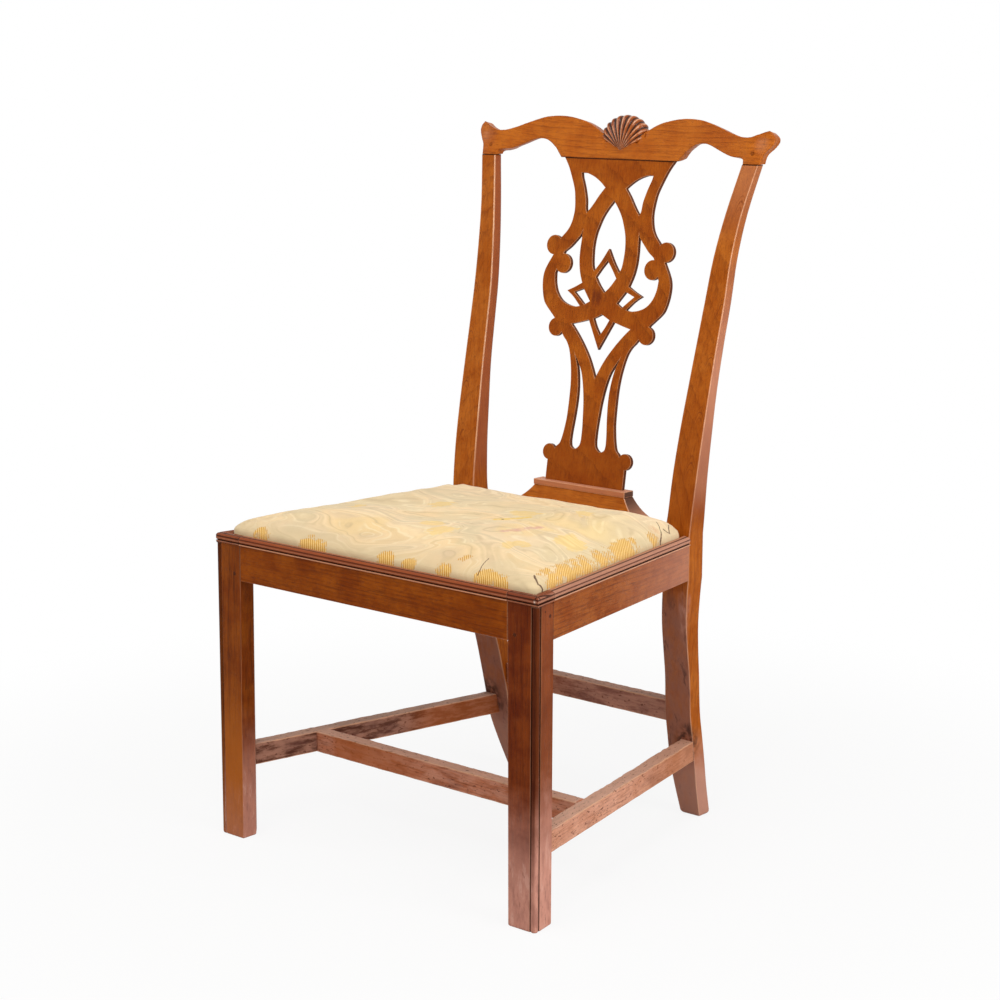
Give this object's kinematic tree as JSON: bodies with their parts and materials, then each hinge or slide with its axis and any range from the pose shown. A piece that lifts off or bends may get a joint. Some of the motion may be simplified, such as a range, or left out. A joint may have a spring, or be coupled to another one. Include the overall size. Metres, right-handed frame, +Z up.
{
  "type": "side chair",
  "caption": "Wooden side chair with a pierced splat under a serpentine crest rail carved with a shell, square front legs, raked back posts, stretchers and a stuffed lift-out seat.",
  "frame": {"origin": "on the floor, under the middle of the overall box", "axes": "+Z up, -Y to the front of the chair, +X to the right as seen from the front"},
  "size_m": [0.5732, 0.5458, 0.98],
  "materials": {
    "polished_wood": "old satin polish, orange-brown",
    "dark_polished_wood": "old satin polish, dark brown",
    "worn_wood": "polish worn thin, pinkish brown",
    "plain_wood": "unpolished pale wood",
    "figured_cloth": "worn woven cream and gold cloth",
    "webbing": "coarse woven straps",
    "sackcloth": "coarse plain weave",
    "stuffing": "matted curled hair",
    "iron_tacks": "dark forged iron"
  },
  "bodies": {
    "frame": {"front_leg_left": "dark_polished_wood", "front_leg_right": "dark_polished_wood", "back_post_left": "polished_wood", "back_post_right": "polished_wood", "front_seat_rail": "dark_polished_wood", "left_seat_rail": "dark_polished_wood", "right_seat_rail": "dark_polished_wood", "rear_seat_rail": "dark_polished_wood", "crest_rail": "polished_wood", "splat": "polished_wood", "shoe": "dark_polished_wood", "left_stretcher": "worn_wood", "right_stretcher": "worn_wood", "cross_stretcher": "worn_wood", "rear_stretcher": "worn_wood", "front_left_block": "plain_wood", "front_right_block": "plain_wood", "rear_left_block": "plain_wood", "rear_right_block": "plain_wood", "rail_pegs": "dark_polished_wood", "crest_pegs": "dark_polished_wood"},
    "slip_seat": {"slip_front_rail": "plain_wood", "slip_rear_rail": "plain_wood", "slip_left_rail": "plain_wood", "slip_right_rail": "plain_wood", "cross_webbing": "webbing", "long_webbing": "webbing", "webbing_tacks": "iron_tacks", "sackcloth": "sackcloth", "stuffing": "stuffing", "seat_cover": "figured_cloth", "cover_tacks": "iron_tacks"}
  },
  "joints": [
    {"name": "slip_seat_lift", "type": "slide", "parent": "frame", "child": "slip_seat", "axis": [0, 0, 1], "range_m": [0, 0.08]}
  ]
}
